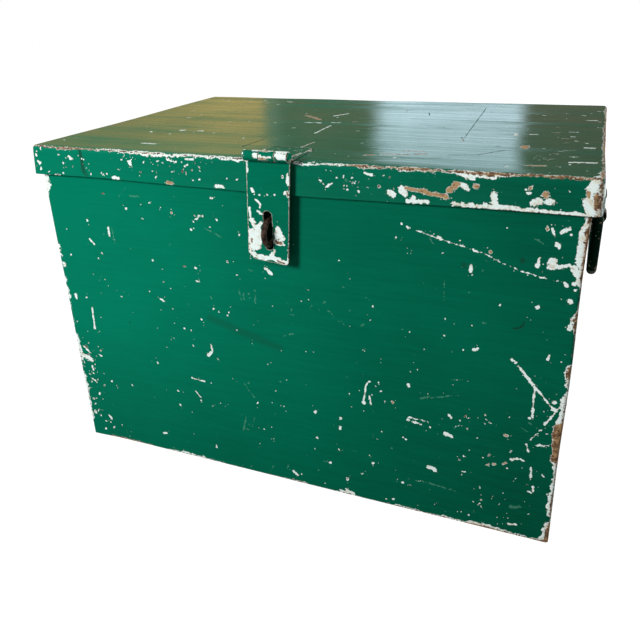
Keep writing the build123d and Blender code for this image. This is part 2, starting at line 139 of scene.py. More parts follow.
front_marks = [
    # the long broken scratch, high on the right
    *of_kind(
        PRIMER, (0.8, 101, 262), (0.22, 105, 260, 127, 254), (1.5, 128, 254, 130, 253.5),
        (0.3, 131, 253, 139, 251, 151, 248, 163, 245, 169, 242, 176, 239),
        (0.26, 180, 238, 188, 235, 194, 234, 202, 232, 209, 231.5, 215, 230.5),
        (1.1, 217, 230, 219, 228),
    ),
    *of_kind(RUST, (1.6, 166, 247)),
    # the forked scratch, low on the right
    *of_kind(
        PRIMER, (0.7, 187, 165, 192, 160), (1.1, 192, 160, 205, 145), (0.8, 205, 145, 221, 127),
        (0.8, 205, 145, 206, 118), (1.3, 204, 116.5), (0.9, 215, 113, 225, 132), (1.9, 220, 134),
        (1.7, 220.5, 128),
    ),
    # the small fork and the short streaks
    *of_kind(
        PRIMER, (0.8, 76, 123, 73, 119, 72, 110, 71, 103), (1.6, 71, 101),
        (0.9, 76, 109, 77.5, 101), (0.5, 110, 95.5, 126, 95), (0.7, 109, 93, 120, 91),
        (0.9, 128, 90), (0.9, -203, 150, -204, 127), (1.1, -74, 132, -73, 126),
        (1.4, -74, 124, -78, 120), (0.8, -98, 92, -85, 91), (0.8, -96, 78, -91, 72),
        (1.1, -168, 234, -168, 226), (0.9, -191, 220, -187, 216),
    ),
    *of_kind(
        RUB, (0.6, -139, 265, -130, 265), (0.4, 111, 33, 129, 33, 152, 31),
        (0.4, 120, 116, 152, 126), (0.9, 120, 116, 126, 119), (0.6, -44, 60, -48, 45),
        (0.5, -40, 190, -39, 181), (0.5, -36, 187, -36, 181), (0.6, -25, 191, -25, 180),
        (0.5, -31, 188, -30, 183), (0.5, 148, 94, 152, 98),
    ),
    # chips near the right edge, high
    *of_kind(RUST, (1.6, 202, 268)),
    *of_kind(
        PRIMER, (0.9, 205, 268, 207, 263), (1.3, 211, 266, 216, 269), (0.8, 217, 265),
        (2.3, 210, 257), (1.3, 199, 246, 198, 240), (3.6, 208, 244.5, 208, 241.5),
        (1.5, 212, 241, 218, 243, 224, 240), (2.8, 222, 241, 226, 235), (3.0, 225, 262, 225, 246),
        (1.6, 223, 230), (1.2, 224, 225), (2.2, 222, 216), (2.6, 224.5, 197),
    ),
    *of_kind(STEEL, (2.8, 226, 203)),
    # chips over the right half
    *of_kind(
        PRIMER, (1.4, 153, 235, 153, 231), (0.7, 154, 228), (0.7, 97, 251), (1.5, 201, 209),
        (0.9, 175, 207), (0.9, 136, 176), (0.7, 151, 166), (0.5, 158, 167, 162, 169),
        (1.1, 213, 172, 212, 169), (1.0, 116, 142), (1.3, 109, 127, 109, 125), (0.8, 84, 124),
        (0.7, 86, 116), (1.0, 143, 105, 145, 103), (0.8, 152, 102), (1.9, 141, 86.5, 145, 85.5),
        (1.9, 128, 50, 134, 48), (0.4, 172, 108, 176, 105), (1.4, 194, 75, 198, 77),
        (0.8, 201, 77, 203, 76), (0.5, 204, 92, 206, 85), (0.6, 207, 98, 213, 108),
        (0.5, 211, 93, 220, 95), (0.7, 209, 71, 210, 60), (1.1, 212, 53, 213, 49), (1.9, 26, 82),
        (1.5, 50, 81), (1.3, 49, 72, 49, 70), (1.2, 27, 55), (0.9, 60, 95), (0.6, 71, 93),
        (1.0, 48, 47), (1.2, 39, 31), (1.5, 79, 41), (0.8, 76, 48), (0.6, 87, 76), (0.9, 108, 73),
        (0.8, 172, 71), (1.2, 106, 27), (1.0, 92, 5), (1.1, 98, 7), (1.3, 2, 11, 6, 8),
        (0.9, 10, 10), (0.9, 164, 9), (1.3, 196, 10, 202, 11), (2.6, 55, 3, 60, 1),
    ),
    *of_kind(
        RUST, (1.9, 96, 107), (0.8, 171, 112), (1.0, 158, 96), (1.3, 187, 97, 189, 96.5),
        (1.1, 180, 67, 182, 67), (0.9, 188, 69, 190, 71), (0.6, 174, 64, 177, 66), (0.9, 167, 38),
        (0.7, 173, 28), (0.7, 182, 34),
    ),
    *of_kind(RUB, (0.8, 27, 19), (0.9, 96, 61), (1.6, 197, 28, 204, 30)),
    *of_kind(STEEL, (0.8, 153, 64), (1.6, 55, 17)),
    # chips over the left half
    *of_kind(
        PRIMER, (1.1, -145, 253), (0.7, -129, 258), (1.2, -190, 238), (1.1, -180, 208),
        (0.8, -185, 202), (1.1, -216, 203), (2.6, -225.5, 192), (1.3, -220, 162, -219, 158),
        (0.8, -207, 160), (0.8, -222, 105, -215, 98), (2.8, -224, 95, -215, 90),
        (1.2, -216, 83, -215, 79), (1.1, -216, 75), (1.0, -219, 68, -215, 66), (1.2, -225, 56),
        (2.2, -223, 27), (1.0, -206, 26, -204, 22), (1.0, -203, 12), (0.8, -192, 17),
        (0.8, -133, 176), (0.9, -122, 170, -119, 168), (1.1, -72, 253, -68, 253), (0.9, -78, 247),
        (1.0, -81, 240), (0.6, -58, 254), (0.8, -55, 251), (1.0, -59, 269, -57, 269),
        (1.3, -81, 205), (0.8, -125, 207), (1.6, -13, 213, -9, 209), (0.8, -35, 240),
        (1.0, -67, 168), (0.7, -62, 166), (0.8, -54, 164), (0.7, -52, 167), (0.9, -81, 156),
        (0.7, -100, 144), (0.9, -93, 143), (1.2, -68, 118), (0.9, -91, 69), (0.8, -116, 74),
        (1.2, -116, 58), (1.0, -141, 19, -137, 20), (0.9, -80, 20, -80, 17), (0.8, -195, 69),
        (0.8, -190, 65), (0.7, -170, 69),
    ),
    *of_kind(RUST, (1.0, -202, 103), (0.9, -99, 253)),
    *of_kind(STEEL, (1.3, -222, 43), (1.0, -49, 215)),
    # dark rubs
    *of_kind(
        SCUFF, (0.7, 193.5, 197, 192.5, 193, 190, 190.5, 186, 190), (2.4, 188, 243),
        (3.0, 148, 235), (0.9, -161, 140), (4.8, -71, 158.5, -5, 140),
    ),
]

skirt_marks = [
    *of_kind(SCUFF, (1.9, -181, 303, -180, 284), (2.8, -181, 287, -178, 282)),
    *of_kind(
        PRIMER, (1.1, -229.5, 297.5, -229, 296.5), (0.8, -228, 300),
        (1.3, -228, 291.5, -226.5, 290.5), (0.9, -226, 286, -226.5, 284), (0.9, -205, 298),
        (1.4, -194, 297, -191, 295), (1.0, -201, 291), (0.9, -203, 282), (0.8, -156, 284),
        (1.4, -150, 281.5, -144, 281), (1.7, -131, 296, -131, 294), (1.4, -93, 300, -90, 299),
        (0.9, -80, 298), (0.9, -76, 301, -69, 301), (0.7, -65, 285), (1.5, -50, 280.5, -44, 280.5),
    ),
    *of_kind(RUST, (1.8, -96, 280.5, -91, 280.5)),
    *of_kind(STEEL, (1.1, -64, 295)),
    # right of the hasp
    *of_kind(
        PRIMER, (0.6, 39, 292, 44, 287), (0.8, 44, 287, 49, 290), (0.9, 74, 299, 80, 298),
        (3.0, 93, 285.5, 95, 285), (3.0, 102, 289, 104, 286.5), (2.2, 110, 284, 110, 281),
        (1.6, 106, 281, 120, 281), (1.9, 143, 295.5, 148, 293), (3.0, 142, 304, 150, 301),
        (2.4, 161, 302, 166, 303), (1.9, 139, 281.5, 160, 281), (2.6, 165.5, 290, 166, 283),
        (2.0, 160, 281.5, 182, 281.5), (1.8, 182, 281, 226, 280.5), (1.4, 188.5, 292.5),
        (2.8, 192, 286, 196, 287.5), (2.3, 201, 288, 204, 288), (4.0, 229, 303, 226, 297),
        (3.6, 225, 290, 227, 282),
    ),
    *of_kind(STEEL, (0.7, 88, 298), (0.9, 85, 290), (3.8, 229.5, 294, 230, 286)),
    *of_kind(
        RUST, (1.6, 105, 290, 117, 289), (2.2, 117, 288.5, 134, 285.5), (2.6, 136, 291, 141, 296),
        (2.2, 153, 295), (1.8, 189, 296), (2.7, 199, 292), (1.6, 224, 296, 225, 293),
    ),
    *of_kind(RUB, (0.5, 60, 293, 61, 291)),
]

lid_marks = [
    *of_kind(
        RUST, (2.4, -53, 38, -44, 30, -30, 17), (1.5, 124, -52), (3.4, 175, -73, 175, -66),
        (1.6, 182, -132, 194, -130), (1.8, 64, -125, 69, -123), (1.6, 99, -114, 108, -112),
        (2.2, 12, -139, 14, -120),
    ),
    *of_kind(
        PRIMER, (1.4, -37, -3, -23, 0), (1.2, -12, 2.4, -4, 4), (1.7, -24, 40, -15, 57),
        (0.9, -7, -52, -7, -14), (1.6, 174, -17, 179, -16), (1.4, 216, 60, 224, 61),
        (1.6, 219, -62, 225, -62), (1.8, 211, -115, 227, -113), (2.2, -115, 127, -110, 126),
        (2.0, -117, 104), (2.4, -138, -65, -135, -65), (1.6, -119, -65, -116, -65),
        (1.5, -99, -71), (1.5, -137, -128, -124, -128), (1.6, -192, 122),
        (2.0, 162, -18, 163, -24),
    ),
    *of_kind(RUB, (0.6, -23, 0, -12, 2.4)),
    *of_kind(
        SCUFF, (0.45, 116, 121, 118, 88, 121, 20, 124, -45), (0.6, 126, -58, 121, -40),
        (0.8, 66, 76, 70, 60), (0.8, 125, -112, 145, -107, 162, -85),
        (0.9, -44, -119, -42, -100, -40, -87), (0.9, 4, -82, 16, -78),
    ),
    *of_kind(
        STEEL, (1.8, 76, -119, 96, -116), (1.4, 88, -104, 104, -103), (2.0, 16, -140, 17, -122),
        (1.0, 5, -112, 7.4, -90),
    ),
]

strap_marks = [
    *of_kind(
        PRIMER, (1.0, -18, 305, -18.3, 295), (1.2, -15.4, 282.4, -14.4, 280.6),
        (0.9, -12.6, 274.3, -9.6, 271.4, -9.4, 268.6), (1.0, -11.6, 264.8, -8.4, 263),
        (0.8, -13.5, 278.2), (0.8, -9, 277.9), (0.7, -2.4, 278.6), (0.6, 0.8, 277.6),
        (0.8, 4.1, 279), (1.3, 11.8, 280.4, 13.6, 281.6), (1.3, 15.4, 295.4, 15.6, 288),
    ),
    *of_kind(STEEL, (1.1, 11.4, 293.6), (1.2, 14.8, 282, 14.9, 279)),
    # the bared corner, from the slot to the left edge and the foot
    *of_kind(
        PRIMER, (1.0, -18.4, 267, -18.4, 257), (2.6, -17.6, 257, -12.6, 249.6),
        (1.6, -12.4, 252.6, -9.4, 255.4), (4.6, -17.5, 246.4, -11.6, 246.4),
        (4.2, -19, 240, -12.4, 241), (3.6, -20, 234.4, -13.2, 236),
        (2.4, -20.6, 229.6, -16.4, 228), (2.2, -14.4, 226.6, -5.4, 226.6),
        (2.0, -3, 227.4, 1, 232.6), (2.2, 0.6, 226.8, 11, 224.2),
    ),
    *of_kind(
        STEEL, (1.7, -18.4, 241.6, -18.8, 239), (1.3, -15.4, 249.6), (1.2, -19.4, 233),
        (1.6, 3.4, 225, 9, 223.4),
    ),
    # right of the slot
    *of_kind(
        PRIMER, (3.4, 4.4, 246.6, 8, 245), (3.0, 4.6, 251, 5.6, 249.6),
        (1.0, 13.6, 232.8, 12.8, 226),
    ),
    *of_kind(STEEL, (2.8, 3.6, 240.6, 7.4, 240.4), (1.2, 9.4, 245.4)),
]
knuckle_z = strap_high[2] - 4.0
strap_marks += of_kind(
    PRIMER, (1.8, -8.5, knuckle_z + 0.4, -3, knuckle_z),
    (1.2, 0.6, knuckle_z - 0.6, 5.4, knuckle_z),
    (2.4, 10.8, knuckle_z + 1.2, 16, knuckle_z + 1), (1.1, -18.2, knuckle_z + 2),
)
strap_marks += of_kind(RUST, (1.3, -4, knuckle_z - 1.2, 1, knuckle_z - 1.6))
knuckle_y = strap_low[1] + 4.0
knuckle_top_marks = [
    *of_kind(
        PRIMER, (2.0, -9, knuckle_y, -2, knuckle_y), (1.3, 1, knuckle_y - 1, 5.4, knuckle_y),
        (2.8, 10.6, knuckle_y - 0.5, 16.4, knuckle_y - 0.5), (1.2, -17.8, knuckle_y),
    ),
    *of_kind(STEEL, (1.4, -11, knuckle_y + 2, 6, knuckle_y + 2)),
    *of_kind(RUST, (1.2, -3, knuckle_y - 1, 2, knuckle_y - 1)),
]
leaf_marks = [
    *knuckle_top_marks,
    *of_kind(STEEL, (1.3, 15, -153, 16.5, -138)),
    *of_kind(PRIMER, (1.0, -17, -150, -17, -132)),
    *of_kind(SCUFF, (0.9, -14, -121, 12, -121)),
]

# Worn edges. Each is a half width of wear, how much of it is bare steel, and its points.

edge_in = body_corner * (1 - math.sqrt(0.5))
left_x, right_x = -half_width + edge_in, half_width - edge_in
corner_y = front_y + edge_in

right_edge = [
    (304, 3.0, 0.6), (270, 4.8, 0.35), (232, 1.2, 0.6), (208, 3.4, 0.6), (193, 0.5, 0.9),
    (165, 4.0, 0.6), (156, 3.4, 0.3), (149, 1.2, 0.6), (141, 5.2, 0.15), (118, 3.0, 0.4),
    (112, 5.4, 0.95), (83, 4.4, 0.2), (58, 1.2, 0.5), (52, 3.8, 0.35), (28, 1.6, 0.7),
    (20, 4.8, 0.45), (0, 4.0, 0.6),
]
left_edge = [
    (304, 3.4, 0.2), (268, 2.0, 0.3), (248, 2.8, 0.3), (236, 1.4, 0.4), (212, 2.6, 0.4),
    (203, 1.6, 0.4), (176, 2.0, 0.3), (160, 2.4, 0.25), (130, 2.8, 0.2), (106, 3.6, 0.5),
    (92, 2.4, 0.4), (60, 2.2, 0.4), (36, 3.0, 0.5), (20, 1.4, 0.5), (0, 1.4, 0.5),
]
bottom_edge = [
    (-half_width, 1.4, 0.9), (-154, 0.2, 0.4), (-136, 2.2, 0.3), (-75, 0.6, 0.6), (0, 2.0, 0.5),
    (16, 0.3, 0.5), (50, 3.0, 0.25), (60, 0.6, 0.5), (100, 3.2, 0.4), (122, 0.8, 0.5),
    (142, 2.6, 0.3), (155, 1.8, 0.6), (166, 3.2, 0.45), (182, 3.4, 0.5), (half_width, 3.4, 0.5),
]
lid_front_edge = [
    (-lid_half_width, 1.4, 0.8), (-195, 0.9, 0.9), (-165, 1.9, 0.35), (-120, 2.3, 0.25),
    (-25, 1.5, 0.2), (17, 2.2, 0.35), (60, 2.2, 0.7), (130, 2.4, 0.5), (170, 1.8, 0.8),
    (lid_half_width, 2.2, 0.8),
]
skirt_lower_edge = [
    (-lid_half_width, 1.0, 0.5), (-205, -1.5, 0.4), (139, 0.9, 0.3), (lid_half_width, 1.2, 0.6),
]


def edge_runs(stops, place):
    """Worn edges between the stops of a list. place gives the point at a stop's first value."""
    return [
        (reach, steel, place(start), place(end))
        for (start, reach, steel), (end, _, _) in zip(stops, stops[1:])
    ]


body_edges = (
    edge_runs(right_edge, lambda z: (right_x, corner_y, z))
    + edge_runs(left_edge, lambda z: (left_x, corner_y, z))
    + edge_runs(bottom_edge, lambda x: (x, front_y, 0))
    + [(1.6, 0.6, (x, front_y, 0), (x, open_y, 0)) for x in (-half_width, half_width)]
    + [(1.8, 0.6, (x, open_y, 0), (x, open_y, rim_z)) for x in (-half_width, half_width)]
    + [(2.0, 0.7, (-half_width, front_y, rim_z), (half_width, front_y, rim_z))]
    + [(2.0, 0.7, (x, front_y, rim_z), (x, open_y, rim_z)) for x in (-half_width, half_width)]
)

fold_in = lid_edge * (1 - math.sqrt(0.5))
plan_in = lid_corner * (1 - math.sqrt(0.5))
fold_z = top_z - fold_in
fold_x = lid_half_width - fold_in
fold_y = lid_half_depth - fold_in
corner_in_x, corner_in_y = lid_half_width - plan_in, lid_half_depth - plan_in
skirt_corners = [
    (4.6, 0.5, corner_in_x, -corner_in_y), (2.0, 0.9, -corner_in_x, -corner_in_y),
    (2.4, 0.6, -corner_in_x, corner_in_y), (2.4, 0.6, corner_in_x, corner_in_y),
]

lid_edges = (
    edge_runs(lid_front_edge, lambda x: (x, -fold_y, fold_z))
    + edge_runs(skirt_lower_edge, lambda x: (x, -lid_half_depth, skirt_z))
    + [
        (2.0, 0.7, (fold_x, -fold_y, fold_z), (fold_x, fold_y, fold_z)),
        (1.2, 0.6, (-fold_x, -fold_y, fold_z), (-fold_x, fold_y, fold_z)),
        (1.8, 0.7, (-fold_x, fold_y, fold_z), (fold_x, fold_y, fold_z)),
        (1.0, 0.5, (-lid_half_width, -fold_y, skirt_z), (-lid_half_width, fold_y, skirt_z)),
        (1.4, 0.5, (lid_half_width, -fold_y, skirt_z), (lid_half_width, fold_y, skirt_z)),
        (1.0, 0.5, (-fold_x, lid_half_depth, skirt_z), (fold_x, lid_half_depth, skirt_z)),
    ]
    + [(reach, steel, (x, y, skirt_z), (x, y, top_z)) for reach, steel, x, y in skirt_corners]
)


def strewn(seed, count, across, up, half_widths, lengths, kinds, lean=math.pi):
    """Marks at random places in a rectangle: small chips, or lines of some length and lean."""
    pick = random.Random(seed)
    marks = []
    for _ in range(count):
        x, y = pick.uniform(*across), pick.uniform(*up)
        length = pick.uniform(*lengths)
        angle = pick.uniform(-lean, lean)
        end = (x + length * math.cos(angle), y + length * math.sin(angle))
        half = pick.uniform(*half_widths)
        marks.append((half, pick.choice(kinds), (x, y), end))
    return marks


chip_lengths = (0.0, 2.5)
chip_kinds = (PRIMER, PRIMER, PRIMER, PRIMER, STEEL)
small_chips = ((0.35, 0.9), chip_lengths, chip_kinds)
long_scratches = ((0.12, 0.3), (6.0, 30.0), (RUB, RUB, RUB, PRIMER))
wall_z = (4, 275)
wall_x = (-half_width + 4, half_width - 4)
end_y = (front_y + 4, open_y - 4)
lid_x, lid_y = (-225, 225), (-150, 150)

front_marks += strewn(1, 22, wall_x, wall_z, (0.1, 0.22), (4, 18), (RUB,))
front_marks += strewn(2, 16, (-226, -40), (150, 270), (0.2, 0.5), chip_lengths, chip_kinds)
front_marks += strewn(3, 40, (-226, -203), (8, 110), (0.25, 0.7), chip_lengths, chip_kinds)
front_marks += strewn(4, 34, (150, 226), (4, 110), (0.2, 0.5), chip_lengths, chip_kinds)
front_marks += strewn(5, 110, wall_x, wall_z, (0.15, 0.4), (0, 1.5), (RUB, RUB, RUB, PRIMER))
front_marks += strewn(12, 18, (5, 75), (172, 200), (0.25, 0.5), (0.5, 4), (RUB,))
front_marks += strewn(13, 60, (-120, 224), (8, 200), (0.2, 0.38), (0, 1.2), (PRIMER,))
skirt_marks += strewn(6, 64, (-230, -25), (282, 303), (0.2, 0.55), (0, 2), chip_kinds)
skirt_marks += strewn(7, 14, (57, 70), (284, 296), (0.3, 0.6), (0, 1), chip_kinds)
skirt_marks += strewn(8, 16, (25, 225), (283, 303), (0.2, 0.45), (0, 1.5), chip_kinds)
lid_marks += strewn(9, 46, lid_x, lid_y, (0.4, 1.1), (0, 4), chip_kinds)
lid_marks += strewn(10, 44, lid_x, lid_y, (0.2, 0.45), (6, 34), (RUB, SCUFF, SCUFF), 0.5)
lid_marks += strewn(11, 24, (184, 228), (-150, 120), (0.3, 0.8), (1, 7), (PRIMER, STEEL), 0.3)
end_marks = {
    way: strewn(seed, 60, end_y, wall_z, *small_chips)
    + strewn(seed + 1, 26, end_y, wall_z, *long_scratches)
    for way, seed in (("-X", 20), ("+X", 30))
}
lid_end_marks = {
    way: strewn(seed, 26, lid_y, (282, 302), (0.35, 0.9), (0, 4), chip_kinds)
    for way, seed in (("-X", 40), ("+X", 42), ("+Y", 44))
}
lid_end_marks["+X"] += of_kind(
    PRIMER, (5.5, -152, 296, -118, 291, -98, 295), (2.6, -98, 300, -20, 301, 70, 301),
    (2.2, -140, 282, -92, 282),
)
lid_end_marks["+X"] += of_kind(STEEL, (1.4, -128, 298, -112, 296))
panel_marks = strewn(50, 110, (-220, 220), wall_z, *small_chips)
panel_marks += strewn(51, 40, (-220, 220), wall_z, *long_scratches)


# Meshes

def steps(low, high, cell):
    """Evenly spaced values from low to high, about a cell apart."""
    return np.linspace(low, high, max(1, round(abs(high - low) / cell)) + 1)


def plan_line(arcs, cell, closed):
    """A rounded outline in plan: points on the line through its arcs' centres, and the way out."""
    places, ways = [], []
    following = arcs[1:] + arcs[:1]
    for number, ((x, y, start, end), after) in enumerate(zip(arcs, following)):
        turns = np.linspace(start, end, bend_cells + 1) if start != end else [start]
        for turn in np.radians(turns):
            places.append((x, y))
            ways.append((math.cos(turn), math.sin(turn)))
        if number == len(arcs) - 1 and not closed:
            break
        way = ways[-1]
        share = steps(0, 1, cell / math.dist((x, y), after[:2]))[1:-1]
        for part in share:
            places.append((x + (after[0] - x) * part, y + (after[1] - y) * part))
            ways.append(way)
    return np.array(places), np.array(ways)


def sweep(plan, radius, profile):
    """Rows of points: each point of a profile, out from the outline and up, carried round it."""
    places, ways = plan
    rows = []
    for out, height in profile:
        flat = places + ways * (radius + out)
        rows.append(np.column_stack([flat, np.full(len(flat), height)]))
    return np.array(rows)


def quads(rows, columns, close_rows, close_columns, start=0):
    """Faces of a grid of points, numbered row by row from start."""
    row_ends = rows if close_rows else rows - 1
    column_ends = columns if close_columns else columns - 1
    row, column = np.meshgrid(np.arange(row_ends), np.arange(column_ends), indexing="ij")
    row_after, column_after = (row + 1) % rows, (column + 1) % columns
    corners = [
        row * columns + column,
        row * columns + column_after,
        row_after * columns + column_after,
        row_after * columns + column,
    ]
    return (np.stack(corners, axis=-1).reshape(-1, 4) + start).tolist()


def bend(middle, radius, start, end):
    """Points of a profile round a bend, without the first and last."""
    turns = np.radians(np.linspace(start, end, bend_cells + 1))[1:-1]
    return [(middle[0] + radius * math.cos(t), middle[1] + radius * math.sin(t)) for t in turns]


def filled(profile, cell):
    """A profile with more points on its long runs."""
    full = []
    for first, second in zip(profile, profile[1:]):
        share = steps(0, 1, cell / max(math.dist(first, second), cell))[:-1]
        full += [tuple(np.array(first) + (np.array(second) - first) * part) for part in share]
    return full + [profile[-1]]


def ripple(points, seed, wave):
    """Smooth unevenness at each point, about -1 to 1 in each direction."""
    pick = np.random.default_rng(seed)
    total = np.zeros_like(points)
    for _ in range(7):
        way = pick.normal(size=3)
        way *= math.tau / np.linalg.norm(way) / (wave * pick.uniform(0.6, 2.2))
        total += np.outer(np.sin(points @ way + pick.uniform(0, math.tau)), pick.normal(size=3))
    return total / 4


def new_object(name, data):
    made = bpy.data.objects.new(name, data)
    bpy.context.scene.collection.objects.link(made)
    return made


def new_piece(name, points, faces, body, nodes):
    """A mesh of points in millimetres that stands for CAD nodes and moves with their body."""
    mesh = bpy.data.meshes.new(name)
    mesh.from_pydata((points * mm).tolist(), [], faces)
    form = bmesh.new()
    form.from_mesh(mesh)
    bmesh.ops.remove_doubles(form, verts=form.verts, dist=same_place * mm)
    bmesh.ops.recalc_face_normals(form, faces=form.faces)
    form.to_mesh(mesh)
    form.free()
    return settle(new_object(name, mesh), body, nodes)


def settle(piece, body, nodes):
    """Shade a new piece smooth between its edges, hang it on its body and hide the CAD nodes it
    stands for.
    """
    piece.data.shade_smooth()
    piece.data.set_sharp_from_angle(angle=smooth_below)
    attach(piece, body)
    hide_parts(*nodes)
    return piece


def diced(node, cell, body):
    """A copy of a CAD node's mesh, cut into cells so that it can carry marks."""
    form = bmesh.new()
    form.from_mesh(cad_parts[node].data)
    bmesh.ops.remove_doubles(form, verts=form.verts, dist=same_place * mm / 10)
    low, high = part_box(node)
    for axis in range(3):
        normal = Vector((0, 0, 0))
        normal[axis] = 1
        for place in steps(low[axis], high[axis], cell * mm)[1:-1]:
            everything = form.verts[:] + form.edges[:] + form.faces[:]
            at = {"plane_co": normal * place, "plane_no": normal, "dist": 1e-7}
            bmesh.ops.bisect_plane(form, geom=everything, **at)
    mesh = bpy.data.meshes.new("worn_" + node)
    form.to_mesh(mesh)
    form.free()
    return settle(new_object("worn_" + node, mesh), body, [node])


def corner_bulge(points, corner, size):
    """A corner knocked outwards: how far each point moves."""
    away = points[:, :2] - corner
    move = np.zeros_like(points)
    share = np.exp(-(np.linalg.norm(away, axis=1) / bulge_spread) ** 2) * size / math.sqrt(2)
    move[:, :2] = np.outer(share, np.sign(corner))
    return move


def skirt_dents(points):
    """The skirt sags a little at the hasp, and is knocked outwards near its right front corner."""
    x, y, z = points.T
    down = np.clip((top_z - z) / (top_z - skirt_z), 0, 1)
    move = np.zeros_like(points)
    front = np.clip((-y - lid_half_depth + dent_starts) / dent_fades, 0, 1)
    move[:, 2] = -(sag_top + (sag_foot - sag_top) * down) * front * np.exp(-(x / sag_spread) ** 2)
    right = np.clip((x - lid_half_width + dent_starts) / dent_fades, 0, 1)
    move[:, 0] = flare * right * down ** 0.7 * np.exp(-(((y - flare_y) / flare_spread) ** 2))
    return move


def body_sheet():
    """Front and both ends, folded from one sheet with a safe edge outside the rim."""
    inner = body_corner
    arcs = [
        (-half_width + inner, open_y, 180, 180),
        (-half_width + inner, front_y + inner, 180, 270),
        (half_width - inner, front_y + inner, 270, 360),
        (half_width - inner, open_y, 0, 0),
    ]
    plan = plan_line(arcs, body_cell, closed=False)
    hem_foot = rim_z - rim_hem
    outside = filled([(0, 0), (0, hem_foot - 0.3), (sheet * 0.8, hem_foot)], body_cell)
    hem = filled([(sheet, hem_foot + 0.3), (sheet, rim_z - hem_round)], body_cell)
    rim = bend((sheet - hem_round, rim_z - hem_round), hem_round, 0, 90)
    inside = [(hem_round - sheet, rim_z), (-sheet, rim_z - hem_round), (-sheet, 0)]
    inside = filled(inside, inside_cell)
    profile = outside + hem + rim + inside
    grid = sweep(plan, body_corner, profile)
    rows, columns = grid.shape[:2]
    faces = quads(rows, columns, True, False)
    faces += [[row * columns + end for row in range(rows)] for end in (0, columns - 1)]
    points = grid.reshape(-1, 3)
    uneven = ripple(points, 7, ripple_wave) * body_ripple
    uneven[:, 2] = 0
    uneven += corner_bulge(points, (-half_width, front_y), body_bulge)
    points = points + uneven
    return new_piece("enamelled_body", points, faces, "trunk", ["body_wrap"])


def lid_sheet():
    """Lid, drawn from one sheet: a flat top, rounded edges and a skirt."""
    x_in, y_in = lid_half_width - lid_corner, lid_half_depth - lid_corner
    arcs = [
        (-x_in, y_in, 90, 180),
        (-x_in, -y_in, 180, 270),
        (x_in, -y_in, 270, 360),
        (x_in, y_in, 0, 90),
    ]
    plan = plan_line(arcs, lid_cell, closed=True)
    inner_bend = lid_edge - sheet
    middle = (-lid_edge, top_z - lid_edge)
    outside = filled([(-lid_corner, top_z), (-lid_edge, top_z)], lid_cell)
    outside += bend(middle, lid_edge, 90, 0)
    skirt = filled([(0, top_z - lid_edge), (0, skirt_z), (-sheet, skirt_z)], lid_cell)
    lining = filled([(-sheet, skirt_z), (-sheet, top_z - lid_edge)], inside_cell)[1:]
    lining += bend(middle, inner_bend, 0, 90)
    lining += filled([(-lid_edge, top_z - sheet), (-lid_corner, top_z - sheet)], lid_cell)
    grid = sweep(plan, lid_corner, outside + skirt + lining)
    rows, columns = grid.shape[:2]
    faces = quads(rows, columns, False, True)
    points = [grid.reshape(-1, 3)]
    across, back = steps(-x_in, x_in, lid_cell), steps(-y_in, y_in, lid_cell)
    for height in (top_z, top_z - sheet):
        start = sum(len(part) for part in points)
        x, y = np.meshgrid(across, back)
        points.append(np.column_stack([x.ravel(), y.ravel(), np.full(x.size, height)]))
        faces += quads(len(back), len(across), False, False, start)
    points = np.concatenate(points)
    uneven = ripple(points, 11, ripple_wave) * lid_ripple
    down = np.clip((top_z - points[:, 2]) / (top_z - skirt_z), 0, 1)
    down = bulge_at_top + (1 - bulge_at_top) * down
    uneven += corner_bulge(points, (-lid_half_width, -lid_half_depth), lid_bulge * down)
    uneven += skirt_dents(points)
    return new_piece("enamelled_lid", points + uneven, faces, "lid", ["lid_shell"])


# Marks on meshes

panel_names = ("-X", "+X", "-Y", "+Y", "-Z", "+Z")
panel_axes = ((1, 2), (1, 2), (0, 2), (0, 2), (0, 1), (0, 1))


def mark_lines(marks):
    """Every run of every mark: ends, half width, kind, and how ragged its outline is."""
    runs = []
    for half, kind, *places in marks:
        for start, end in zip(places, places[1:] or places):
            line = half < thin_line and math.dist(start, end) > 4 * half
            ragged = thin_raggedness if line else 0.5 + 0.4 * min(half, 2.5)
            runs.append((*start, *end, half, kind, ragged))
    return np.array(runs, float).reshape(-1, 7)


def nearest_marks(places, runs):
    """The two marks nearest to each place, and the place seen from each of them."""
    start, end = runs[:, :2], runs[:, 2:4]
    along = end - start
    length = np.maximum(np.linalg.norm(along, axis=1), no_length)
    way = along / length[:, None]
    way[length <= no_length] = (1, 0)
    found = []
    for chunk in np.array_split(places, max(1, len(places) // at_once)):
        gap = chunk[:, None] - (start + end) / 2
        forward = np.einsum("fmk,mk->fm", gap, way)
        sideways = gap[..., 0] * way[:, 1] - gap[..., 1] * way[:, 0]
        past = np.maximum(np.abs(forward) - length / 2, 0)
        room = np.hypot(sideways, past) - runs[:, 4]
        found.append(np.argsort(room, axis=1)[:, :fewest])
    return np.concatenate(found), way, length


def read(items, name, width, kind=float):
    """One thing about every item of a mesh, a row each."""
    values = np.zeros(len(items) * width, kind)
    items.foreach_get(name, values)
    return values.reshape(-1, width)


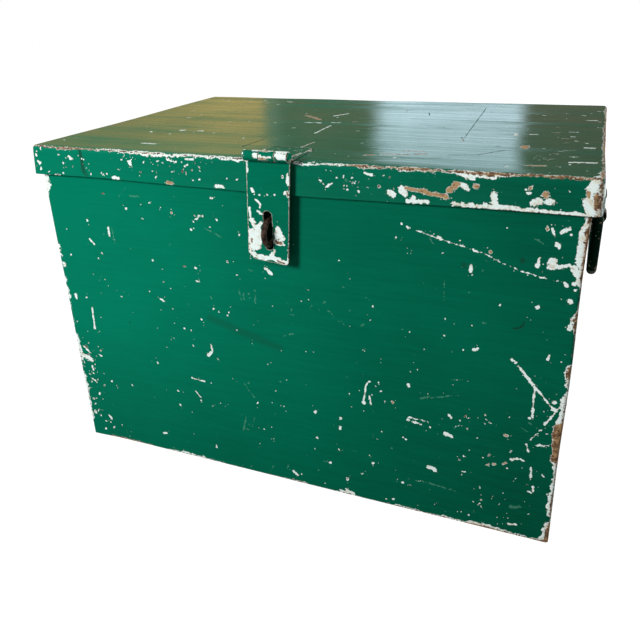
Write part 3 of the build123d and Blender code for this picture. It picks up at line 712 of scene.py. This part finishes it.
def mark(piece, marks, edges, inner_wear=0.4, shell=True):
    """Give each face corner its place on its panel, its two nearest marks and its worn edge."""
    mesh = piece.data
    count = len(mesh.polygons)
    normals = read(mesh.polygons, "normal", 3)
    centres = read(mesh.polygons, "center", 3) / mm
    points = read(mesh.vertices, "co", 3) / mm
    corner_points = read(mesh.loops, "vertex_index", 1, int).ravel()
    face_of = np.repeat(np.arange(count), read(mesh.polygons, "loop_total", 1, int).ravel())
    corners = points[corner_points]

    axis = np.abs(normals).argmax(axis=1)
    panel = axis * 2 + (normals[np.arange(count), axis] > 0)
    middle = (points.min(axis=0) + points.max(axis=0)) / 2
    inward = (normals * (centres - middle)).sum(axis=1) < 0
    inner = inward if shell else np.zeros(count, bool)

    place = np.zeros((len(corners), 3))
    seen = np.full((len(corners), fewest, 3), far_away)
    form = np.zeros((len(corners), fewest, 3))
    form[..., 0] = least_width
    for number, name in enumerate(panel_names):
        axes = list(panel_axes[number])
        on_panel = (panel == number)[face_of]
        place[on_panel, :2] = corners[on_panel][:, axes]
        place[on_panel, 2] = number * panel_shift
        if not marks.get(name):
            continue
        runs = mark_lines(marks[name])
        faces = np.flatnonzero((panel == number) & ~inner)
        if not len(faces):
            continue
        nearest, way, length = nearest_marks(centres[faces][:, axes], runs)
        row_of = np.full(count, -1)
        row_of[faces] = np.arange(len(faces))
        used = np.flatnonzero(row_of[face_of] >= 0)
        chosen = nearest[row_of[face_of[used]]]
        gap = corners[used][:, None, axes] - ((runs[:, :2] + runs[:, 2:4]) / 2)[chosen]
        seen[used, :, 0] = gap[..., 0] * way[chosen][..., 1] - gap[..., 1] * way[chosen][..., 0]
        seen[used, :, 1] = (gap * way[chosen]).sum(axis=2)
        seen[used, :, 2] = length[chosen] / 2
        form[used] = runs[chosen, 4:]
    place[inner[face_of], 2] += inside_shift

    wear = worn_edges(points, edges)[corner_points]
    wear[inner[face_of], 1] *= inner_wear
    layers = {"panel_place": place, "edge_wear": wear}
    for number in range(fewest):
        layers[f"mark_{number}"] = seen[:, number]
        layers[f"mark_form_{number}"] = form[:, number]
    for name, values in layers.items():
        layer = mesh.attributes.new(name, "FLOAT_VECTOR", "CORNER")
        layer.data.foreach_set("vector", values.astype(np.float32).ravel())


def worn_edges(points, edges):
    """For each point, its distance to the worn edge that reaches it best, and that edge's wear."""
    best = np.full(len(points), np.inf)
    wear = np.zeros((len(points), 3))
    for reach, steel, start, end in edges:
        start, end = np.array(start, float), np.array(end, float)
        along = end - start
        share = np.clip((points - start) @ along / max(along @ along, 1e-9), 0, 1)
        gap = np.linalg.norm(points - start - share[:, None] * along, axis=1)
        better = gap - reach < best
        best[better] = (gap - reach)[better]
        wear[better] = np.column_stack([gap[better], np.tile((reach, steel), (better.sum(), 1))])
    return wear


def sharp_edges(node, reach, steel):
    """The sharp edges of a CAD node, as worn edges."""
    form = bmesh.new()
    form.from_mesh(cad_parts[node].data)
    bmesh.ops.remove_doubles(form, verts=form.verts, dist=same_place * mm / 10)
    found = []
    for edge in form.edges:
        if len(edge.link_faces) == 2 and edge.calc_face_angle() > smooth_below:
            found.append((reach, steel, *(tuple(np.array(v.co) / mm) for v in edge.verts)))
    form.free()
    return found


# Finishes

def arithmetic(operation, swapped=False):
    """A way to write one operation of the Math node as a sum."""
    def method(flow, other):
        values = (other, flow) if swapped else (flow, other)
        return flow.recipe.maths(operation, *values)
    return method


class Flow:
    """A socket of a finish, so that sums on it read as plain arithmetic."""

    def __init__(self, recipe, socket):
        self.recipe = recipe
        self.socket = socket

    __add__ = arithmetic("ADD")
    __radd__ = arithmetic("ADD", swapped=True)
    __sub__ = arithmetic("SUBTRACT")
    __rsub__ = arithmetic("SUBTRACT", swapped=True)
    __mul__ = arithmetic("MULTIPLY")
    __rmul__ = arithmetic("MULTIPLY", swapped=True)
    __truediv__ = arithmetic("DIVIDE")
    __gt__ = arithmetic("GREATER_THAN")
    __lt__ = arithmetic("LESS_THAN")
    __or__ = arithmetic("MAXIMUM")
    __and__ = arithmetic("MINIMUM")


class Recipe:
    """The node tree of one finish."""

    def __init__(self, tree):
        self.tree = tree
        tree.nodes.clear()

    def node(self, kind, settings=None, sockets=None, output=0):
        """A new node: its settings, then the values or links of its sockets."""
        made = self.tree.nodes.new("ShaderNode" + kind)
        for name, value in (settings or {}).items():
            setattr(made, name, value)
        for name, value in (sockets or {}).items():
            if isinstance(value, Flow):
                self.tree.links.new(value.socket, made.inputs[name])
            else:
                made.inputs[name].default_value = value
        return None if output is None else Flow(self, made.outputs[output])

    def maths(self, operation, *values):
        return self.node("Math", {"operation": operation}, dict(enumerate(values)))

    def split(self, vector):
        parts = self.node("SeparateXYZ", sockets={0: vector})
        return [Flow(self, socket) for socket in parts.socket.node.outputs]

    def scaled(self, vector, x, y, z):
        return self.node("VectorMath", {"operation": "MULTIPLY"}, {0: vector, 1: (x, y, z)})

    def layer(self, name):
        return self.node("Attribute", {"attribute_name": name}, output="Vector")

    def noise(self, place, size, detail=2.0, rough=0.5):
        """Cloudy noise from 0 to 1 with features of a size, in the units of place."""
        sockets = {"Vector": place, "Scale": 1 / size, "Detail": detail, "Roughness": rough}
        return self.node("TexNoise", sockets=sockets)

    def ease(self, value, low, high):
        """0 below low and 1 above high, or the other way round where low is the larger."""
        sockets = {"Value": value, "From Min": min(low, high), "From Max": max(low, high)}
        sockets |= {"To Min": float(low > high), "To Max": float(low < high)}
        return self.node("MapRange", {"interpolation_type": "SMOOTHSTEP"}, sockets)

    def blend(self, share, first, second):
        """A colour between two colours."""
        return self.node("Mix", {"data_type": "RGBA"}, {0: share, 6: first, 7: second}, output=2)


def tone(red, green, blue):
    """A colour from its 0 to 255 values on a screen."""
    parts = [value / 255 for value in (red, green, blue)]
    return (*[p / 12.92 if p <= 0.04045 else ((p + 0.055) / 1.055) ** 2.4 for p in parts], 1.0)


primer_pale = tone(240, 254, 250)
primer_cream = tone(226, 224, 206)
primer_stain = tone(168, 140, 112)
steel_tan = tone(180, 146, 106)
steel_brown = tone(98, 72, 54)
scuff_tone = tone(26, 52, 40)
rub_tone = tone(96, 164, 138)

body_glint = 0.03
lid_glint = 0.08

# Each paint's two ends: as lit at the top left and as shaded at the right foot, a painted shade
# that the paint's own uneven tone also spans.
paint_lit_and_shaded = {
    "green": (tone(1, 124, 95), tone(1, 76, 54)),
    "dark green": (tone(12, 56, 42), tone(6, 38, 28)),
    "black": (tone(40, 38, 34), tone(20, 20, 18)),
}


def new_recipe(name):
    """A new material with an empty recipe."""
    material = bpy.data.materials.new(name)
    material.use_nodes = True
    return material, Recipe(material.node_tree)


def mark_masks(recipe, number, jag, lump):
    """Where a mark's paint is off, down to the steel, rusted, rubbed pale or scuffed dark."""
    sideways, forward, half_length = recipe.split(recipe.layer(f"mark_{number}"))
    half_width, kind, ragged = recipe.split(recipe.layer(f"mark_form_{number}"))
    past = (recipe.maths("ABSOLUTE", forward) - half_length) | 0.0
    away = recipe.maths("SQRT", sideways * sideways + past * past)
    bite = ((jag - 0.5) * 2.8 + (lump - 0.5) * 3.4) * ragged
    room = away - half_width * 0.88 + bite
    off = recipe.ease(room, 0.1, -0.12)
    bared = off * (kind > 1.5)
    core = recipe.ease(room + half_width * 0.45, 0.15, -0.15) * (kind > 2.5)
    rust = recipe.ease(room + 0.35, 0.15, -0.15) * (kind > 3.5)
    rubbed = off * (kind > 0.5) * (kind < 1.5)
    scuffed = recipe.ease((away + bite * 0.5) / half_width, 1.2, 0.3) * (kind < 0.5)
    scuffed = scuffed * (recipe.ease(half_width, 3.6, 1.4) * 0.7 + 0.3)
    near = recipe.ease(room, 7.0, 0.5) * (kind > 1.5)
    return {
        "bared": bared, "core": core | rust, "rust": rust,
        "rubbed": rubbed, "scuffed": scuffed, "near": near,
    }


def edge_masks(recipe, jag, lump, drift):
    """The same along a worn edge."""
    gap, reach, steel = recipe.split(recipe.layer("edge_wear"))
    drifting = reach * (0.8 + (drift - 0.5) * 3.0)
    room = gap - drifting + ((jag - 0.5) * 2.0 + (lump - 0.5) * 3.0) * (reach & 1.6)
    worn = reach > 0.01
    off = recipe.ease(room, 0.12, -0.12) * worn
    core = recipe.ease(room + drifting * (1 - steel) + (jag - 0.5) * 3.2, 0.15, -0.15) * worn
    near = recipe.ease(room, 6.0, 0.5) * worn
    return {"bared": off, "core": core & off, "near": near}


def speck_mask(recipe, place, amount, size, spread):
    """Pinhead chips of up to a size, in cells of a spread. amount is how many cells have one."""
    cells = recipe.node("TexVoronoi", sockets={"Vector": place, "Scale": 1 / spread})
    chance, bulk, _ = recipe.split(Flow(recipe, cells.socket.node.outputs["Color"]))
    return recipe.ease(cells * spread - size * (0.25 + bulk * 0.75), 0.1, -0.1) * (chance < amount)


def enamel(name, paint="green", marked=True, specks=1.1, gloss=0.14, grain=1.0, rub_through=0.0,
           glint=body_glint):
    """Brushed enamel over white primer over steel, with painted shade towards the right and the
    foot. A marked piece knows where its wear is.
    """
    material, recipe = new_recipe(name)
    seen = recipe.node("TexCoord", output="Object")
    in_mm = recipe.scaled(seen, 1 / mm, 1 / mm, 1 / mm)
    place = recipe.layer("panel_place") if marked else in_mm
    x, _, z = recipe.split(in_mm)
    jag = recipe.noise(place, 1.5, 3, 0.65)
    lump = recipe.noise(place, 4.5, 2)
    drift = recipe.noise(place, 32.0, 2)
    cloud = recipe.noise(place, 110.0, 3)
    brushed = recipe.scaled(place, 0.045, 1.0, 1.0 if marked else 0.045)
    streak = recipe.noise(brushed, 1.3, 3, 0.6)
    broad_streak = recipe.noise(brushed, 5.5, 2)
    wide_streak = recipe.noise(brushed, 17.0, 3, 0.6)

    worn = {"bared": speck_mask(recipe, place, (drift - 0.42) * specks, 0.6, 6.5)}
    marks = [mark_masks(recipe, number, jag, lump) for number in range(fewest)] if marked else []
    if marked:
        marks.append(edge_masks(recipe, jag, lump, drift))
    if rub_through:
        through = lump * 0.5 + jag * 0.35 + drift * 0.4
        through = recipe.ease(through, 0.78 - rub_through, 0.84 - rub_through)
        marks.append({"bared": through, "core": through * (jag > 0.5)})
    for masks in marks:
        for kind, mask in masks.items():
            worn[kind] = worn[kind] | mask if kind in worn else mask
    if "near" in worn:
        around = speck_mask(recipe, place, worn["near"] * 0.22, 0.45, 2.4)
        worn["bared"] = worn["bared"] | around

    lit_pale_paint, shaded_deep_paint = paint_lit_and_shaded[paint]
    # Painted shade: the colour darkens from left to right and towards the foot, as a lamp's
    # falloff would; the clouds and streaks are the paint's own uneven tone.
    foot = recipe.ease(z, 180, -20) * (recipe.ease(x, 120, -180) * 0.2 + 0.2)
    shade_and_tone = recipe.ease(x, -230, 280) * 0.74 + foot + (cloud - 0.5) * 0.4
    shade_and_tone = shade_and_tone + (streak - 0.5) * 0.4 + (broad_streak - 0.5) * 0.15
    colour = recipe.blend(shade_and_tone, lit_pale_paint, shaded_deep_paint)
    if "rubbed" in worn:
        colour = recipe.blend(worn["rubbed"] * 0.4, colour, rub_tone)
        colour = recipe.blend(worn["scuffed"] * 0.75, colour, scuff_tone)
    primer = recipe.blend(recipe.ease(lump + jag * 0.3, 0.6, 0.85), primer_pale, primer_cream)
    primer = recipe.blend(recipe.ease(jag, 0.6, 0.68) * 0.6, primer, primer_stain)
    colour = recipe.blend(worn["bared"], colour, primer)
    if "core" in worn:
        rusty = recipe.ease(jag * 0.6 + lump * 0.5, 0.46, 0.64)
        if "rust" in worn:
            rusty = rusty | worn["rust"] * recipe.ease(jag, 0.36, 0.42)
        colour = recipe.blend(worn["core"], colour, recipe.blend(rusty, steel_brown, steel_tan))

    rough = gloss + ((streak - 0.5) * 0.1 + (wide_streak - 0.5) * 0.22) * grain
    rough = rough + (cloud - 0.5) * 0.12 * grain + worn["bared"] * 0.5
    film = streak * 0.03 + broad_streak * 0.05 + wide_streak * 0.1 + 0.16
    height = (1 - worn["bared"]) * film * grain + worn["bared"] * jag * 0.05
    if "rubbed" in worn:
        rough = rough + worn["rubbed"] * 0.2 + worn["scuffed"] * 0.35
        height = height - worn["scuffed"] * 0.2
    bumps = recipe.node("Bump", sockets={"Strength": 0.8, "Distance": mm, "Height": height})
    surface = {"Base Color": colour, "Roughness": rough, "Normal": bumps}
    surface["Specular IOR Level"] = glint
    finish_with(recipe, surface)
    return material


def finish_with(recipe, surface):
    """Close a recipe with its surface and output."""
    shader = recipe.node("BsdfPrincipled", sockets=surface)
    recipe.node("OutputMaterial", sockets={"Surface": shader}, output=None)


def dark_steel(name):
    """Old bare steel: brown, in brighter rubbed patches placed by noise."""
    material, recipe = new_recipe(name)
    seen = recipe.node("TexCoord", output="Object")
    place = recipe.scaled(seen, 1 / mm, 1 / mm, 1 / mm)
    grime = recipe.noise(place, 3.0, 4, 0.6)
    pits = recipe.noise(place, 0.7, 3)
    colour = recipe.blend(recipe.ease(grime, 0.35, 0.65), tone(50, 32, 26), tone(112, 88, 76))
    rough = 0.38 + grime * 0.3
    bumps = recipe.node("Bump", sockets={"Distance": mm, "Height": pits * 0.12 + grime * 0.1})
    surface = {"Base Color": colour, "Roughness": rough, "Normal": bumps, "Metallic": 0.65}
    finish_with(recipe, surface)
    return material


# Pieces

body = body_sheet()
mark(body, {"-Y": front_marks, **end_marks}, body_edges)
lid = lid_sheet()
mark(lid, {"-Y": skirt_marks, "+Z": lid_marks, **lid_end_marks}, lid_edges)

strap = diced("hasp_strap", 1.3, "hasp")
strap_edges = sharp_edges("hasp_strap", 0.45, 0.45)
mark(strap, {"-Y": strap_marks, "+Z": knuckle_top_marks}, strap_edges, shell=False)
leaf = diced("hasp_leaf", 1.5, "lid")
leaf_edges = sharp_edges("hasp_leaf", 0.25, 0.6)
mark(leaf, {"-Y": strap_marks, "+Z": leaf_marks}, leaf_edges, shell=False)
plate = diced("staple_plate", 1.6, "trunk")
mark(plate, {}, sharp_edges("staple_plate", 0.9, 0.5), shell=False)
back = diced("back_panel", 4.0, "trunk")
mark(back, {"+Y": panel_marks}, sharp_edges("back_panel", 0.8, 0.5), shell=False)

hinge_leaves = []
for side in ("left", "right"):
    for part, carrier in (("lid", "lid"), ("body", "trunk")):
        node = f"hinge_{part}_leaf_{side}"
        hinge_leaf = diced(node, 2.2, carrier)
        mark(hinge_leaf, {}, sharp_edges(node, 0.7, 0.6), shell=False)
        hinge_leaves.append(hinge_leaf)

# Finishes of the pieces

green = enamel("green_enamel_marked")
lid_green = enamel("lid_enamel_marked", gloss=0.16, grain=4.0, glint=lid_glint)
hasp_green = enamel("hasp_enamel_marked", specks=1.6)
# The staple plate, seen through the hasp's slot, gets the dark green as painted shade for that
# recess.
plate_painted_shade = enamel("plate_enamel_painted_shade", "dark green")
plain_green = enamel("green_enamel_plain", marked=False, specks=1.4)
worn_green = enamel("green_enamel_rubbed", marked=False, specks=2.0, rub_through=0.06)
rod_green = enamel("dark_green_rod", "dark green", marked=False, specks=2.0, rub_through=0.08)
clip_black = enamel("blackened_clip", "black", marked=False, specks=2.0, rub_through=0.12)
bare_steel = dark_steel("dark_steel")

finishes = {
    "bottom_pan": plain_green,
    "hasp_pin": worn_green,
    "hasp_leaf_rivets": worn_green,
    "staple": bare_steel,
    "staple_backing_plate": bare_steel,
}
for side in ("left", "right"):
    finishes |= {
        f"seam_rivets_{side}": plain_green,
        f"hinge_lid_rivets_{side}": worn_green,
        f"hinge_body_rivets_{side}": worn_green,
        f"hinge_pin_{side}": bare_steel,
        f"handle_bail_{side}": rod_green,
        f"handle_rivets_{side}": clip_black,
        f"handle_clip_{side}_front": clip_black,
        f"handle_clip_{side}_rear": clip_black,
    }

for node, finish in finishes.items():
    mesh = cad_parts[node].data
    mesh.materials.clear()
    mesh.materials.append(finish)
for piece in (body, back, *hinge_leaves):
    piece.data.materials.append(green)
for piece in (strap, leaf):
    piece.data.materials.append(hasp_green)
lid.data.materials.append(lid_green)
plate.data.materials.append(plate_painted_shade)


# Studio. Turns and rises are degrees, from the trunk's back round to its left and up.

camera_place = (0.22252, -0.60151, 0.41394)
camera_turns = (22.754, 66.797, -1.96)    # heading, tilt and roll
camera_lens = 37.24
camera_shift = (0.00106, -0.0561)
floor_reach = 12.0
floor_drop = 0.0005
floor_glow = 0.9          # as bright as the room, seen by the camera
fill_front, fill_back = 0.2, 0.46
gloss_level = 0.6
window_right = (5.0, 6.0)
window_left = (16.3, 18.2)
post_right = (25.4, 25.8)  # a lighter post between the dark wall and the warm one
post_left = (26.7, 27.1)
warm_fades = (28, 44)
walls_right, walls_left, walls_top = (-30, -24), (60, 54), (30, 26)
warm_tones = ((1.12, 0.7, 0.21, 1), (0.55, 0.31, 0.09, 1))
warm_stain = (0.3, 0.16, 0.07, 1)
dark_tones = ((0.17, 0.12, 0.06, 1), (0.3, 0.19, 0.11, 1))
window_tones = ((1.15, 1.5, 1.7, 1), (1.75, 2.15, 2.4, 1))
right_wall = (0.25, 0.17, 0.12, 1)
post_tone = (0.3, 0.28, 0.2, 1)


def grey(level):
    return (level, level, level, 1)


def studio_room():
    """White where the camera looks past the trunk, and a soft even light on it. Gloss shows a
    pale room with a warm wall and a window in it, low down behind the trunk on its left."""
    world = bpy.data.worlds.new("studio")
    world.use_nodes = True
    bpy.context.scene.world = world
    recipe = Recipe(world.node_tree)
    east, north, up = recipe.split(recipe.node("TexCoord", output="Generated"))
    turn = recipe.maths("ARCTAN2", east * -1, north) * (180 / math.pi)
    rise = recipe.maths("ARCSINE", up) * (180 / math.pi)
    bars = recipe.noise(recipe.node("CombineXYZ", sockets={0: turn, 1: rise * 0.1}), 1.2)
    warm_wall = recipe.blend(recipe.ease(turn, *warm_fades), *warm_tones)
    mottle = recipe.noise(recipe.node("CombineXYZ", sockets={0: turn * 0.4, 1: rise}), 1.6, 3, 0.6)
    warm_wall = recipe.blend(recipe.ease(mottle, 0.42, 0.66) * 0.5, warm_wall, warm_stain)
    dark_wall = recipe.blend(recipe.ease(mottle, 0.4, 0.6), *dark_tones)
    window = recipe.blend(bars, *window_tones)
    room = recipe.blend(recipe.ease(turn, *window_right), right_wall, window)
    room = recipe.blend(recipe.ease(turn, *window_left), room, dark_wall)
    room = recipe.blend(recipe.ease(turn, *post_right), room, post_tone)
    room = recipe.blend(recipe.ease(turn, *post_left), room, warm_wall)
    low_down = recipe.ease(rise, *walls_top)
    low_down = low_down * recipe.ease(turn, *walls_right) * recipe.ease(turn, *walls_left)
    room = recipe.blend(low_down, grey(gloss_level), room)
    soft = recipe.blend(recipe.ease(north, -0.3, 0.4), grey(fill_front), grey(fill_back))
    clear = recipe.node("LightPath", output="Is Camera Ray")
    clear = clear | recipe.node("LightPath", output="Is Transmission Ray")
    seen = recipe.blend(recipe.node("LightPath", output="Is Glossy Ray"), soft, room)
    seen = recipe.blend(clear, seen, grey(1.0))
    shade = recipe.node("Background", sockets={"Color": seen, "Strength": 1.0})
    recipe.node("OutputWorld", sockets={"Surface": shade}, output=None)


def studio_floor():
    """A wide pale floor, white to the camera but for the trunk's soft shadow."""
    ends = (-floor_reach, floor_reach)
    mesh = bpy.data.meshes.new("floor")
    mesh.from_pydata([(x, y, 0) for x in ends for y in ends], [], [(0, 2, 3, 1)])
    floor = new_object("floor", mesh)
    floor.location.z = cad_low.z - floor_drop
    material, recipe = new_recipe("pale_floor")
    clear = recipe.node("LightPath", output="Is Camera Ray")
    clear = clear | recipe.node("LightPath", output="Is Transmission Ray")
    glow = recipe.blend(clear, (0, 0, 0, 1), grey(floor_glow))
    surface = {"Base Color": grey(0.3), "Roughness": 0.9, "Specular IOR Level": 0.0}
    surface |= {"Emission Color": glow, "Emission Strength": 1.0}
    finish_with(recipe, surface)
    mesh.materials.append(material)


def lamp(name, place, aim, size, power):
    """A square soft lamp that faces a point and shows in no gloss."""
    light = bpy.data.lights.new(name, "AREA")
    light.shape = "SQUARE"
    light.size = size
    light.energy = power
    holder = new_object(name, light)
    holder.location = place
    holder.rotation_mode = "QUATERNION"
    holder.rotation_quaternion = (Vector(aim) - Vector(place)).to_track_quat("-Z", "Y")
    holder.visible_glossy = False


def camera():
    heading, tilt, roll = (
        Matrix.Rotation(math.radians(turn), 4, axis) for turn, axis in zip(camera_turns, "ZXZ")
    )
    lens = bpy.data.cameras.new("camera")
    lens.lens = camera_lens
    lens.sensor_width = 36
    lens.shift_x, lens.shift_y = camera_shift
    lens.clip_start = 0.01
    holder = new_object("camera", lens)
    holder.matrix_world = Matrix.Translation(camera_place) @ heading @ tilt @ roll
    bpy.context.scene.camera = holder


studio_room()
studio_floor()
lamp("key_lamp", place=(-0.54, -1.19, 0.82), aim=(0, -0.15, 0.22), size=0.3, power=15.1)
lamp("back_lamp", place=(1.6, 2.0, 0.5), aim=(0, 0.1, 0.15), size=0.8, power=70.0)
camera()
bpy.context.scene.view_settings.view_transform = "Standard"
